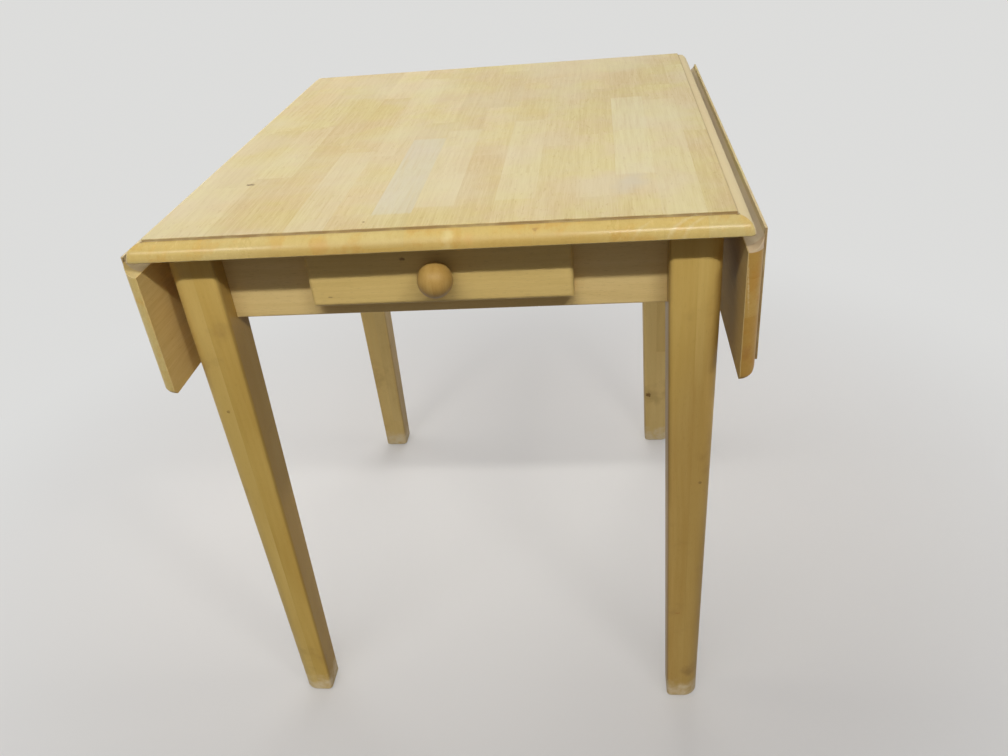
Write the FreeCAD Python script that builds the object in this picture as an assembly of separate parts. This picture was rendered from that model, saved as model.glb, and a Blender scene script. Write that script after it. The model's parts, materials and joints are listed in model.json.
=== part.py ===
import FreeCAD, Part
import math
import os

Vec = FreeCAD.Vector

# A drop-leaf table with one drawer, in millimetres. +Z is up and the origin is on the floor under
# the table's centre. The drawer faces -Y, and the two leaves hang at -X and +X.
table_height = 750.0
cut_overrun = 1.0
fastener_clearance = 0.1

# Top: a flat field, a small step all round it, and a quarter-round edge below the step
top_thickness = 20.0
field_width = 612.0
field_depth = 700.0
edge_step = 3.0
edge_ease = 1.0
corner_radius = 7.0

# Leaves: the same edge on three sides, and along the fourth the hollow of the rule joint
leaf_width = 166.0
rule_gap = 0.5
leaf_underside_drop = 0.4

# Leaf hinges, whose pins lie below and outside the top's edge
hinge_pin_outset = 5.5
hinge_pin_drop = 4.5
hinge_pin_radius = 1.25
hinge_pin_clearance = 0.05
hinge_leg_gap = 35.0
hinge_length = 54.0
hinge_knuckle_gap = 0.4
hinge_screw_spacing = 30.0
flap_thickness = 2.0
flap_rail_gap = 3.0
leaf_flap_bearing = 30.0

# Legs: square above, tapered from the rails down, mostly on the two inner faces
leg_top_size = 56.0
leg_foot_size = 42.0
leg_outer_taper = 6.0
leg_inset_x = 7.0
leg_inset_y = 12.0
leg_outer_radius = 20.0
leg_inner_radius = 6.0
foot_ease = 4.0
leg_flat_depth = 8.0

# Rails between the legs
rail_height = 96.0
rail_thickness = 19.0
rail_setback = 25.0
rail_ease = 2.0

# Corner blocks and the bolts that pull the legs to the rails
corner_block_thickness = 22.0
corner_block_height = 55.0
corner_block_bracket_gap = 2.0
corner_block_leg_gap = 6.0
bolt_radius = 4.0
bolt_leg_depth = 40.0
bolt_tail = 6.0
bolt_hole_clearance = 0.5
washer_radius = 10.0
washer_thickness = 1.6
nut_hub_radius = 7.5
nut_hub_height = 9.0
nut_wing_reach = 18.0
nut_wing_rise = 8.0
nut_wing_thickness = 3.0

# Drawer
drawer_leg_margin = 99.0
drawer_front_overlap = 13.0
drawer_front_height = 72.0
drawer_front_thickness = 17.0
drawer_front_drop = 6.0
drawer_front_gap = 0.4
drawer_front_ease = 5.0
drawer_box_height = 48.0
drawer_box_length = 400.0
drawer_side_thickness = 12.0
drawer_back_thickness = 12.0
drawer_bottom_thickness = 5.0
drawer_groove_depth = 6.0
drawer_groove_rise = 6.0
drawer_groove_clearance = 0.15
aperture_gap = 2.0

# Strips that carry the drawer: a runner below, a guide beside and a kicker above each side
running_gap = 0.3
guide_gap = 0.7
guide_thickness = 14.0
runner_height = 10.0
kicker_height = 9.0

# Drawer knob
knob_radius = 19.0
knob_neck_radius = 9.0
knob_centre_reach = 17.5
knob_screw_grip = 12.0

# Props that hold the raised leaves, one hinged to each side rail
prop_thickness = 24.0
prop_half_width = 9.0
prop_rail_gap = 1.0
prop_pivot_drop = 58.0
prop_rise_degrees = 35.0
prop_tip_gap = 0.3
prop_tip_flat = 12.0
prop_pin_radius = 4.0
prop_pin_clearance = 0.05
prop_side_gap = 0.4
cheek_thickness = 14.0
cheek_reach = 20.0
cheek_height = 44.0
cheek_ease = 7.0
cheek_screw_spacing = 24.0
cheek_screw_length = 34.0
cleat_depth = 8.0
cleat_length = 30.0
cleat_slope_margin_degrees = 4.0

# Angle brackets that hold the top down on the rails
bracket_leg = 20.0
bracket_width = 20.0
bracket_thickness = 2.0
bracket_hole_reach = 12.0
side_bracket_leg_gap = 122.0
bracket_strip_gap = 9.0

# Countersunk wood screws
screw_head_radius = 3.5
screw_head_depth = 1.75
screw_shank_radius = 1.75
screw_length = 15.0

# Levels
underside = table_height - top_thickness
rail_bottom = underside - rail_height
leaf_underside = underside - leaf_underside_drop
ovolo_radius = top_thickness - edge_step
cove_radius = ovolo_radius + rule_gap

# Plan positions
field_half_x = field_width / 2
field_half_y = field_depth / 2
top_half_x = field_half_x + ovolo_radius
top_half_y = field_half_y + ovolo_radius
leg_outer_x = field_half_x - leg_inset_x
leg_outer_y = field_half_y - leg_inset_y
leg_inner_x = leg_outer_x - leg_top_size
leg_inner_y = leg_outer_y - leg_top_size
rail_outer_x = leg_outer_x - rail_setback
rail_outer_y = leg_outer_y - rail_setback
rail_inner_x = rail_outer_x - rail_thickness
rail_inner_y = rail_outer_y - rail_thickness

# Leaf hinge line on the right-hand side
pin_x = field_half_x + hinge_pin_outset
pin_z = underside - hinge_pin_drop
knuckle_radius = hinge_pin_drop - leaf_underside_drop

# Drawer positions
drawer_face_back = -rail_outer_y - drawer_front_gap
drawer_face_front = drawer_face_back - drawer_front_thickness
drawer_front_top = underside - drawer_front_drop
drawer_centre_z = drawer_front_top - drawer_front_height / 2
drawer_front_half = leg_inner_x - drawer_leg_margin
drawer_half = drawer_front_half - drawer_front_overlap
drawer_floor = drawer_centre_z - drawer_box_height / 2
drawer_rim = drawer_centre_z + drawer_box_height / 2
drawer_rear = drawer_face_back + drawer_box_length
guide_inner = drawer_half + guide_gap
guide_outer = guide_inner + guide_thickness

parts = {}


def solid_box(x_span, y_span, z_span):
    low = Vec(x_span[0], y_span[0], z_span[0])
    return Part.makeBox(x_span[1] - x_span[0], y_span[1] - y_span[0], z_span[1] - z_span[0], low)


def outline(place, stations):
    """Closed face through stations of (point, middle): a middle point makes that run an arc."""
    edges = []
    here = stations[0][0]
    for point, middle in stations[1:] + [(stations[0][0], stations[0][1])]:
        if middle is None:
            edges.append(Part.makeLine(place(*here), place(*point)))
        else:
            edges.append(Part.Arc(place(*here), place(*middle), place(*point)).toShape())
        here = point
    return Part.Face(Part.Wire(edges))


def straight(*points):
    return [(point, None) for point in points]


def round_to(centre, radius, start, end):
    """One station: an arc about a centre, from one angle to another in degrees."""
    def on_circle(degrees):
        angle = math.radians(degrees)
        return (centre[0] + radius * math.cos(angle), centre[1] + radius * math.sin(angle))
    return [(on_circle(end), on_circle((start + end) / 2))]


def flipped(stations):
    """The same run of stations mirrored in its first coordinate and walked the other way."""
    def flip(point):
        return None if point is None else (-point[0], point[1])
    result = [(flip(stations[-1][0]), None)]
    for index in range(len(stations) - 1, 0, -1):
        result.append((flip(stations[index - 1][0]), flip(stations[index][1])))
    return result


def across(u, z):
    return Vec(u, 0, z)


def along(u, z):
    return Vec(0, u, z)


def swept(face, start, end):
    """Extrudes a face from one point's offset to another's."""
    face.translate(start)
    return face.extrude(end - start)


def turned(stations):
    return outline(across, stations).revolve(Vec(0, 0, 0), Vec(0, 0, 1), 360)


def aimed(shape, origin, direction):
    shape.Placement = FreeCAD.Placement(origin, FreeCAD.Rotation(Vec(0, 0, 1), direction))
    return shape


def mirror_x(shape):
    return shape.mirror(Vec(0, 0, 0), Vec(1, 0, 0))


def mirror_y(shape):
    return shape.mirror(Vec(0, 0, 0), Vec(0, 1, 0))


def edges_at(shape, axis, value):
    """Edges that lie wholly at one coordinate of an axis."""
    found = []
    for edge in shape.Edges:
        box = edge.BoundBox
        low = getattr(box, axis + "Min")
        high = getattr(box, axis + "Max")
        if math.isclose(low, value, abs_tol=1e-6) and math.isclose(high, value, abs_tol=1e-6):
            found.append(edge)
    return found


def wood_screw(place, length):
    origin, direction = place
    stations = straight((0, 0), (screw_head_radius, 0), (screw_shank_radius, screw_head_depth),
                        (screw_shank_radius, length - screw_head_depth), (0, length))
    return aimed(turned(stations), origin, direction)


def screw_hole(place, length):
    origin, direction = place
    head = screw_head_radius + fastener_clearance
    shank = screw_shank_radius + fastener_clearance
    stations = straight((0, -cut_overrun), (head, -cut_overrun), (head, 0), (shank, screw_head_depth),
                        (shank, length + fastener_clearance), (0, length + fastener_clearance))
    return aimed(turned(stations), origin, direction)


def drilled(shape, places, length):
    return shape.cut([screw_hole(place, length) for place in places])


# Moulded edges

def moulded_edge(field_edge, bottom):
    """Stations from the field over the step and the quarter round down to the underside."""
    stations = straight((field_edge - edge_ease, table_height))
    stations += round_to((field_edge - edge_ease, table_height - edge_ease), edge_ease, 90, 0)
    stations += straight((field_edge, table_height - edge_step))
    stations += round_to((field_edge, underside), ovolo_radius, 90, 0)
    if bottom < underside:
        stations += straight((field_edge + ovolo_radius, bottom))
    return stations


def moulded_face(place, field_edge, bottom):
    edge = moulded_edge(field_edge, bottom)
    return outline(place, edge + flipped(edge))


def round_corners(shape, side_x, bottom):
    """Rounds the two plan corners of the right-hand side, so that the quarter round runs round them."""
    reach = ovolo_radius - corner_radius
    crown_degrees = math.degrees(math.acos(reach / ovolo_radius))
    crown = underside + ovolo_radius * math.sin(math.radians(crown_degrees))
    stations = straight((0, bottom), (0, crown))
    stations += round_to((-reach, underside), ovolo_radius, crown_degrees, 0)
    if bottom < underside:
        stations += straight((corner_radius, bottom))
    centre = Vec(side_x - corner_radius, top_half_y - corner_radius, 0)
    quarter = outline(across, stations).revolve(Vec(0, 0, 0), Vec(0, 0, 1), 90)
    quarter.translate(centre)
    column = solid_box((centre.x, side_x), (centre.y, top_half_y), (bottom, table_height))
    rounded = shape.cut([column, mirror_y(column)]).fuse([quarter, mirror_y(quarter)])
    return rounded.removeSplitter()


def build_top():
    by_width = swept(moulded_face(across, field_half_x, underside),
                     Vec(0, -top_half_y, 0), Vec(0, top_half_y, 0))
    by_depth = swept(moulded_face(along, field_half_y, underside),
                     Vec(-top_half_x, 0, 0), Vec(top_half_x, 0, 0))
    one_side = mirror_x(round_corners(by_width.common(by_depth), top_half_x, underside))
    return round_corners(one_side, top_half_x, underside)


def build_leaf():
    """The right-hand leaf, level with the top."""
    lip_x = field_half_x + rule_gap
    edge_x = lip_x + leaf_width
    lip_degrees = math.degrees(math.acos(rule_gap / cove_radius))
    section = moulded_edge(edge_x - ovolo_radius, leaf_underside)
    section += straight((field_half_x + cove_radius, leaf_underside),
                        (field_half_x + cove_radius, underside))
    section += round_to((field_half_x, underside), cove_radius, 0, lip_degrees)
    section += straight((lip_x, table_height))
    by_width = swept(outline(across, section), Vec(0, -top_half_y, 0), Vec(0, top_half_y, 0))
    by_depth = swept(moulded_face(along, field_half_y, leaf_underside),
                     Vec(lip_x, 0, 0), Vec(edge_x, 0, 0))
    return round_corners(by_width.common(by_depth), edge_x, leaf_underside)


def hung(shape):
    """Turns a piece of the right-hand leaf from level to hanging, about the hinge pins."""
    shape.rotate(Vec(pin_x, 0, pin_z), Vec(0, 1, 0), 90)
    return shape


# Leaf hinges

def knuckle_spans(centre_y):
    """The middle third of a hinge, then its two outer thirds."""
    start = centre_y - hinge_length / 2
    third = hinge_length / 3
    half_gap = hinge_knuckle_gap / 2
    middle = (start + third + half_gap, start + 2 * third - half_gap)
    outer = [(start, start + third - half_gap), (start + 2 * third + half_gap, start + hinge_length)]
    return middle, outer


def hinge_flap(spans, plate_x, plate_z, centre_y):
    """A plate, the tabs that reach the pin line, and a knuckle round the pin on each tab."""
    half = hinge_length / 2
    near = min(plate_x, key=lambda x: abs(x - pin_x))
    flap = solid_box((min(plate_x), max(plate_x)), (centre_y - half, centre_y + half), plate_z)
    for span in spans:
        tab = solid_box((min(near, pin_x), max(near, pin_x)), span, plate_z)
        barrel = Part.makeCylinder(knuckle_radius, span[1] - span[0], Vec(pin_x, span[0], pin_z),
                                   Vec(0, 1, 0))
        flap = flap.fuse([tab, barrel])
    bore = Part.makeCylinder(hinge_pin_radius + hinge_pin_clearance, hinge_length + 2 * cut_overrun,
                             Vec(pin_x, centre_y - half - cut_overrun, pin_z), Vec(0, 1, 0))
    return flap.cut(bore).removeSplitter()


knuckle_edge = knuckle_radius + hinge_knuckle_gap
top_flap_x = (rail_outer_x + flap_rail_gap, pin_x - knuckle_edge)
top_flap_z = (underside - flap_thickness, underside)
leaf_flap_x = (pin_x + knuckle_edge, field_half_x + cove_radius + leaf_flap_bearing)
leaf_flap_z = (leaf_underside - flap_thickness, leaf_underside)
hinge_y = leg_inner_y - hinge_leg_gap - hinge_length / 2
hinge_places = (-hinge_y, hinge_y)


def flap_screws(x, z):
    """Screw places on one side's two flaps, driven upwards."""
    half = hinge_screw_spacing / 2
    return [(Vec(x, y + offset, z), Vec(0, 0, 1)) for y in hinge_places for offset in (-half, half)]


top_flap_screws = flap_screws((top_flap_x[0] + top_flap_x[1]) / 2, top_flap_z[0])
leaf_flap_screws = flap_screws(leaf_flap_x[1] - leaf_flap_bearing / 2, leaf_flap_z[0])


def build_hinges():
    """The right-hand hinges: top flaps, hanging leaf flaps and pins, front to rear."""
    rows = []
    for centre_y in hinge_places:
        middle, outer = knuckle_spans(centre_y)
        top_flap = hinge_flap([middle], top_flap_x, top_flap_z, centre_y)
        top_flap = drilled(top_flap, top_flap_screws, screw_length)
        leaf_flap = hinge_flap(outer, leaf_flap_x, leaf_flap_z, centre_y)
        leaf_flap = drilled(leaf_flap, leaf_flap_screws, screw_length)
        pin = Part.makeCylinder(hinge_pin_radius, hinge_length,
                                Vec(pin_x, centre_y - hinge_length / 2, pin_z), Vec(0, 1, 0))
        rows.append((top_flap, hung(leaf_flap), pin))
    return rows


# Legs, rails and corner blocks, made at the front right-hand corner

diagonal = Vec(-1, 1, 0).normalize()
leg_corner = Vec(leg_inner_x, -leg_inner_y, 0)
corner_block_top = underside - bracket_leg - corner_block_bracket_gap
corner_block_bottom = corner_block_top - corner_block_height
bolt_z = (corner_block_top + corner_block_bottom) / 2


def on_diagonal(reach, z):
    """A point on the leg's diagonal, measured inwards from its inner corner."""
    point = leg_corner + diagonal * reach
    return Vec(point.x, point.y, z)


def leg_section(z, inset):
    """Rounded square at one height, with the large radius on the outermost corner."""
    taper_share = max(0, 1 - z / rail_bottom)
    size = leg_top_size - (leg_top_size - leg_foot_size) * taper_share
    lean = leg_outer_taper * taper_share
    shrink = (size - 2 * inset) / size
    small = leg_inner_radius * shrink
    large = leg_outer_radius * shrink
    right, rear = leg_outer_x - lean - inset, -leg_outer_y + lean + size - inset
    left, front = right - size + 2 * inset, rear - size + 2 * inset
    stations = straight((left + small, front), (right - large, front))
    stations += round_to((right - large, front + large), large, -90, 0)
    stations += straight((right, rear - small))
    stations += round_to((right - small, rear - small), small, 0, 90)
    stations += straight((left + small, rear))
    stations += round_to((left + small, rear - small), small, 90, 180)
    stations += straight((left, front + small))
    closing = round_to((left + small, front + small), small, 180, 270)
    stations[0] = (stations[0][0], closing[0][1])
    return outline(lambda x, y: Vec(x, y, z), stations).OuterWire


def build_leg():
    sections = [leg_section(0, foot_ease), leg_section(foot_ease, 0),
                leg_section(rail_bottom, 0), leg_section(underside, 0)]
    leg = Part.makeLoft(sections, True, True)
    flat = leg_flat_depth * math.sqrt(2) + cut_overrun
    corner = [(flat, cut_overrun), (-cut_overrun, cut_overrun), (-cut_overrun, -flat)]
    face = outline(lambda x, y: leg_corner + Vec(x, y, 0), straight(*corner))
    chamfer = swept(face, Vec(0, 0, corner_block_bottom), Vec(0, 0, underside + cut_overrun))
    hole = Part.makeCylinder(bolt_radius + fastener_clearance, bolt_leg_depth + cut_overrun,
                             on_diagonal(-leg_flat_depth - bolt_leg_depth, bolt_z), diagonal)
    return leg.cut([chamfer, hole])


def build_corner_block():
    """A board across the corner, mitred to seat on the inner faces of two rails."""
    front_reach = leg_inner_y - rail_inner_y
    side_reach = rail_inner_x - leg_inner_x
    near = corner_block_leg_gap * math.sqrt(2)
    far = (corner_block_leg_gap + corner_block_thickness) * math.sqrt(2)
    points = [(leg_inner_x + front_reach - near, -rail_inner_y),
              (rail_inner_x, -leg_inner_y + side_reach + near),
              (rail_inner_x, -leg_inner_y + side_reach + far),
              (leg_inner_x + front_reach - far, -rail_inner_y)]
    face = outline(lambda x, y: Vec(x, y, 0), straight(*points))
    block = swept(face, Vec(0, 0, corner_block_bottom), Vec(0, 0, corner_block_top))
    hole = Part.makeCylinder(bolt_radius + bolt_hole_clearance, far + cut_overrun,
                             on_diagonal(0, bolt_z), diagonal)
    return block.cut(hole)


def build_bolt_set():
    """The hanger bolt through leg and block, with its washer and wing nut."""
    seat = corner_block_leg_gap + corner_block_thickness
    start = -leg_flat_depth - bolt_leg_depth
    length = seat + washer_thickness + nut_hub_height + bolt_tail - start
    bolt = Part.makeCylinder(bolt_radius, length, on_diagonal(start, bolt_z), diagonal)
    bore_radius = bolt_radius + fastener_clearance
    washer = turned(straight((bore_radius, 0), (washer_radius, 0), (washer_radius, washer_thickness),
                             (bore_radius, washer_thickness)))
    hub = Part.makeCylinder(nut_hub_radius, nut_hub_height)
    half = nut_wing_thickness / 2
    wing = outline(across, straight((0, 0), (nut_hub_radius, 0), (nut_wing_reach, nut_wing_rise),
                                    (nut_wing_reach, nut_hub_height + nut_wing_rise), (0, nut_hub_height)))
    wing = swept(wing, Vec(0, -half, 0), Vec(0, half, 0))
    tall = nut_hub_height + nut_wing_rise + 2 * cut_overrun
    bore = Part.makeCylinder(bore_radius, tall, Vec(0, 0, -cut_overrun))
    nut = hub.fuse([wing, mirror_x(wing)]).cut(bore).removeSplitter()
    aimed(washer, on_diagonal(seat, bolt_z), diagonal)
    aimed(nut, on_diagonal(seat + washer_thickness, bolt_z), diagonal)
    return bolt, washer, nut


def at_corners(shape):
    """A front right-hand piece and its three mirror images, by corner name."""
    return {"front_right": shape, "front_left": mirror_x(shape),
            "rear_right": mirror_y(shape), "rear_left": mirror_y(mirror_x(shape))}


def eased_rail(x_span, y_span):
    rail = solid_box(x_span, y_span, (rail_bottom, underside))
    longest = max(x_span[1] - x_span[0], y_span[1] - y_span[0])
    edges = [edge for edge in edges_at(rail, "Z", rail_bottom) if math.isclose(edge.Length, longest)]
    return rail.makeFillet(rail_ease, edges)


def build_front_rail():
    rail = eased_rail((-leg_inner_x, leg_inner_x), (-rail_outer_y, -rail_inner_y))
    half = drawer_half + aperture_gap
    aperture = solid_box((-half, half), (-rail_outer_y - cut_overrun, -rail_inner_y + cut_overrun),
                         (drawer_floor - aperture_gap, drawer_rim + aperture_gap))
    return rail.cut(aperture)


# Angle brackets under the top

def bracket_sites():
    """Rail face points under the top, each with the turn that faces the bracket inwards."""
    side = leg_inner_y - side_bracket_leg_gap - bracket_width / 2
    end = guide_outer + bracket_strip_gap + bracket_width / 2
    sites = []
    for sign in (-1, 1):
        sites.append((Vec(-rail_inner_x, sign * side, underside), 0))
        sites.append((Vec(rail_inner_x, sign * side, underside), 180))
        sites.append((Vec(sign * end, -rail_inner_y, underside), 90))
        sites.append((Vec(sign * end, rail_inner_y, underside), -90))
    return sites


def bracket_screws(site, turn):
    """One screw up into the top and one into the rail."""
    around = FreeCAD.Rotation(Vec(0, 0, 1), turn)
    up = site + around.multVec(Vec(bracket_hole_reach, 0, -bracket_thickness))
    aside = site + around.multVec(Vec(bracket_thickness, 0, -bracket_hole_reach))
    return (up, Vec(0, 0, 1)), (aside, around.multVec(Vec(-1, 0, 0)))


def build_bracket(site, turn):
    half = bracket_width / 2
    section = straight((0, 0), (bracket_leg, 0), (bracket_leg, -bracket_thickness),
                       (bracket_thickness, -bracket_thickness), (bracket_thickness, -bracket_leg),
                       (0, -bracket_leg))
    bracket = swept(outline(across, section), Vec(0, -half, 0), Vec(0, half, 0))
    bracket.Placement = FreeCAD.Placement(site, FreeCAD.Rotation(Vec(0, 0, 1), turn))
    return drilled(bracket, bracket_screws(site, turn), screw_length)


# Drawer

def drawer_groove(x_span, y_span):
    level = drawer_floor + drawer_groove_rise
    return solid_box(x_span, y_span, (level - drawer_groove_clearance,
                                      level + drawer_bottom_thickness + drawer_groove_clearance))


knob_screw_length = drawer_front_thickness + knob_screw_grip
knob_screw_place = (Vec(0, drawer_face_back, drawer_centre_z), Vec(0, -1, 0))


def build_drawer_front():
    front = solid_box((-drawer_front_half, drawer_front_half), (drawer_face_front, drawer_face_back),
                      (drawer_front_top - drawer_front_height, drawer_front_top))
    front = front.makeFillet(drawer_front_ease, edges_at(front, "Y", drawer_face_front))
    inner = drawer_half - drawer_side_thickness + drawer_groove_depth
    groove = drawer_groove((-inner, inner),
                           (drawer_face_back - drawer_groove_depth, drawer_face_back + cut_overrun))
    return drilled(front.cut(groove), [knob_screw_place], knob_screw_length)


def build_drawer_side():
    """The right-hand side, grooved for the bottom."""
    inner = drawer_half - drawer_side_thickness
    side = solid_box((inner, drawer_half), (drawer_face_back, drawer_rear), (drawer_floor, drawer_rim))
    groove = drawer_groove((inner - cut_overrun, inner + drawer_groove_depth),
                           (drawer_face_back - cut_overrun, drawer_rear + cut_overrun))
    return side.cut(groove)


def build_drawer_back():
    inner = drawer_half - drawer_side_thickness
    bottom_top = drawer_floor + drawer_groove_rise + drawer_bottom_thickness
    return solid_box((-inner, inner), (drawer_rear - drawer_back_thickness, drawer_rear),
                     (bottom_top, drawer_rim))


def build_drawer_bottom():
    half = drawer_half - drawer_side_thickness + drawer_groove_depth - drawer_groove_clearance
    level = drawer_floor + drawer_groove_rise
    front = drawer_face_back - drawer_groove_depth + drawer_groove_clearance
    return solid_box((-half, half), (front, drawer_rear), (level, level + drawer_bottom_thickness))


def build_knob():
    neck_degrees = -math.degrees(math.acos(knob_neck_radius / knob_radius))
    neck_top = knob_centre_reach + knob_radius * math.sin(math.radians(neck_degrees))
    stations = straight((0, 0), (knob_neck_radius, 0), (knob_neck_radius, neck_top))
    stations += round_to((0, knob_centre_reach), knob_radius, neck_degrees, 90)
    knob = aimed(turned(stations), Vec(0, drawer_face_front, drawer_centre_z), Vec(0, -1, 0))
    return drilled(knob, [knob_screw_place], knob_screw_length)


def build_drawer_strips():
    """Runner, guide and kicker for the right-hand drawer side, from rail to rail."""
    inner = drawer_half - drawer_side_thickness
    run = (-rail_inner_y, rail_inner_y)
    runner_top = drawer_floor - running_gap
    kicker_bottom = drawer_rim + guide_gap
    runner = solid_box((inner, guide_outer), run, (runner_top - runner_height, runner_top))
    guide = solid_box((guide_inner, guide_outer), run, (runner_top, kicker_bottom))
    kicker = solid_box((inner, guide_outer), run, (kicker_bottom, kicker_bottom + kicker_height))
    return {"runner": runner, "guide": guide, "kicker": kicker}


# Props, made on the right-hand side with the prop raised against the level leaf

prop_x = rail_outer_x + prop_rail_gap + prop_half_width
prop_z = underside - prop_pivot_drop
prop_rise = math.radians(prop_rise_degrees)
prop_turn_degrees = 90 + prop_rise_degrees
prop_ratio = prop_turn_degrees / 90
prop_tip_z = leaf_underside - prop_tip_gap
prop_tip_x = (prop_x + (prop_tip_z - prop_z) / math.tan(prop_rise) - prop_half_width / math.sin(prop_rise)
              + prop_tip_flat)


def cleat_slope():
    """Slope at which the prop's tip meets the leaf, as both turn at their fixed ratio, less a margin."""
    rise = prop_ratio * (prop_tip_x - prop_x) - (prop_tip_x - pin_x)
    run = prop_ratio * (prop_tip_z - prop_z) - (prop_tip_z - pin_z)
    return math.atan2(rise, run) - math.radians(cleat_slope_margin_degrees)


def build_prop_arm():
    """A straight arm with a round heel on its pin and an end bevelled to seat under the leaf."""
    slope = cleat_slope()
    over = (-prop_half_width * math.sin(prop_rise), prop_half_width * math.cos(prop_rise))
    heel = (prop_x, prop_z)
    upper = (prop_x + over[0], prop_z + over[1])
    lower = (prop_x - over[0], prop_z - over[1])
    drop = ((prop_tip_x - lower[0]) * math.sin(prop_rise) - (prop_tip_z - lower[1]) * math.cos(prop_rise))
    bevel = -drop / math.sin(prop_rise + slope)
    tip = (prop_tip_x, prop_tip_z)
    toe = (prop_tip_x + bevel * math.cos(slope), prop_tip_z - bevel * math.sin(slope))
    stations = straight(upper, (prop_tip_x - prop_tip_flat, prop_tip_z), tip, toe, lower)
    back = round_to(heel, prop_half_width, prop_rise_degrees - 90, prop_rise_degrees - 270)
    stations[0] = (upper, back[0][1])
    half = prop_thickness / 2
    arm = swept(outline(across, stations), Vec(0, -half, 0), Vec(0, half, 0))
    bore = Part.makeCylinder(prop_pin_radius + prop_pin_clearance, prop_thickness + 2 * cut_overrun,
                             Vec(prop_x, -half - cut_overrun, prop_z), Vec(0, 1, 0))
    arm = arm.cut(bore)
    arm.rotate(Vec(prop_x, 0, prop_z), Vec(0, 1, 0), prop_turn_degrees)
    return arm


cheek_inner = prop_thickness / 2 + prop_side_gap
cheek_outer = cheek_inner + cheek_thickness


def cheek_screws():
    """Screws through the right-hand rail from inside, two into each cheek."""
    middle = (cheek_inner + cheek_outer) / 2
    half = cheek_screw_spacing / 2
    return [(Vec(rail_inner_x, y, prop_z + offset), Vec(1, 0, 0))
            for y in (-middle, middle) for offset in (-half, half)]


def build_cheek():
    """The rear cheek of the right-hand prop, seated on the rail's outer face."""
    face_x = rail_outer_x + cheek_reach
    cheek = solid_box((rail_outer_x, face_x), (cheek_inner, cheek_outer),
                      (prop_z - cheek_height / 2, prop_z + cheek_height / 2))
    edges = [edge for edge in edges_at(cheek, "X", face_x) if math.isclose(edge.Length, cheek_thickness)]
    cheek = cheek.makeFillet(cheek_ease, edges)
    bore = Part.makeCylinder(prop_pin_radius + prop_pin_clearance, cheek_thickness + 2 * cut_overrun,
                             Vec(prop_x, cheek_inner - cut_overrun, prop_z), Vec(0, 1, 0))
    return drilled(cheek.cut(bore), cheek_screws(), cheek_screw_length)


def build_cleat():
    """A bevelled stop on the leaf's underside, which the raised prop's end wedges against."""
    start = prop_tip_x + prop_tip_gap
    run = cleat_depth / math.tan(cleat_slope())
    low = leaf_underside - cleat_depth
    section = straight((start, leaf_underside), (start + run, low), (start + cleat_length, low),
                       (start + cleat_length, leaf_underside))
    half = prop_thickness / 2
    return hung(swept(outline(across, section), Vec(0, -half, 0), Vec(0, half, 0)))


# The pieces, side by side and corner by corner

def add_sides(name, shape):
    parts[name + "_right"] = shape
    parts[name + "_left"] = mirror_x(shape)


def both_sides(shapes):
    return Part.makeCompound(list(shapes) + [mirror_x(shape) for shape in shapes])


def add_top_and_leaves():
    up_holes = [screw_hole(place, screw_length) for place in top_flap_screws]
    up_holes += [mirror_x(hole) for hole in up_holes]
    up_holes += [screw_hole(bracket_screws(*site)[0], screw_length) for site in bracket_sites()]
    parts["tabletop"] = build_top().cut(up_holes)
    add_sides("leaf", hung(drilled(build_leaf(), leaf_flap_screws, screw_length)))


def add_hinges():
    for end, (top_flap, leaf_flap, pin) in zip(("front", "rear"), build_hinges()):
        add_sides("hinge_top_flap_" + end, top_flap)
        add_sides("hinge_leaf_flap_" + end, leaf_flap)
        add_sides("hinge_pin_" + end, pin)
    parts["hinge_top_screws"] = both_sides([wood_screw(place, screw_length) for place in top_flap_screws])
    leaf_screws = [hung(wood_screw(place, screw_length)) for place in leaf_flap_screws]
    add_sides("hinge_leaf_screws", Part.makeCompound(leaf_screws))


def add_frame():
    for corner, leg in at_corners(build_leg()).items():
        parts["leg_" + corner] = leg
    for corner, block in at_corners(build_corner_block()).items():
        parts["corner_block_" + corner] = block
    for name, shape in zip(("hanger_bolts", "bolt_washers", "wing_nuts"), build_bolt_set()):
        parts[name] = Part.makeCompound(list(at_corners(shape).values()))
    front = build_front_rail()
    rear = eased_rail((-leg_inner_x, leg_inner_x), (rail_inner_y, rail_outer_y))
    side = eased_rail((rail_inner_x, rail_outer_x), (-leg_inner_y, leg_inner_y))
    side = drilled(side, cheek_screws(), cheek_screw_length)
    rails = {"front_rail": front, "rear_rail": rear, "right_rail": side, "left_rail": mirror_x(side)}
    holes = [screw_hole(bracket_screws(*site)[1], screw_length) for site in bracket_sites()]
    for name, rail in rails.items():
        parts[name] = rail.cut(holes)
    parts["top_brackets"] = Part.makeCompound([build_bracket(*site) for site in bracket_sites()])
    places = [place for site in bracket_sites() for place in bracket_screws(*site)]
    parts["top_bracket_screws"] = Part.makeCompound([wood_screw(place, screw_length) for place in places])


def add_drawer():
    for name, strip in build_drawer_strips().items():
        add_sides("drawer_" + name, strip)
    add_sides("drawer_side", build_drawer_side())
    parts["drawer_front"] = build_drawer_front()
    parts["drawer_back"] = build_drawer_back()
    parts["drawer_bottom"] = build_drawer_bottom()
    parts["drawer_knob"] = build_knob()
    parts["knob_screw"] = wood_screw(knob_screw_place, knob_screw_length)


def add_props():
    add_sides("prop_arm", build_prop_arm())
    cheek = build_cheek()
    add_sides("prop_cheek_rear", cheek)
    add_sides("prop_cheek_front", mirror_y(cheek))
    length = 2 * cheek_outer
    pin = Part.makeCylinder(prop_pin_radius, length, Vec(prop_x, -cheek_outer, prop_z), Vec(0, 1, 0))
    add_sides("prop_pin", pin)
    add_sides("prop_cleat", build_cleat())
    screws = [wood_screw(place, cheek_screw_length) for place in cheek_screws()]
    parts["prop_cheek_screws"] = both_sides(screws)


add_top_and_leaves()
add_hinges()
add_frame()
add_drawer()
add_props()

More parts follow.
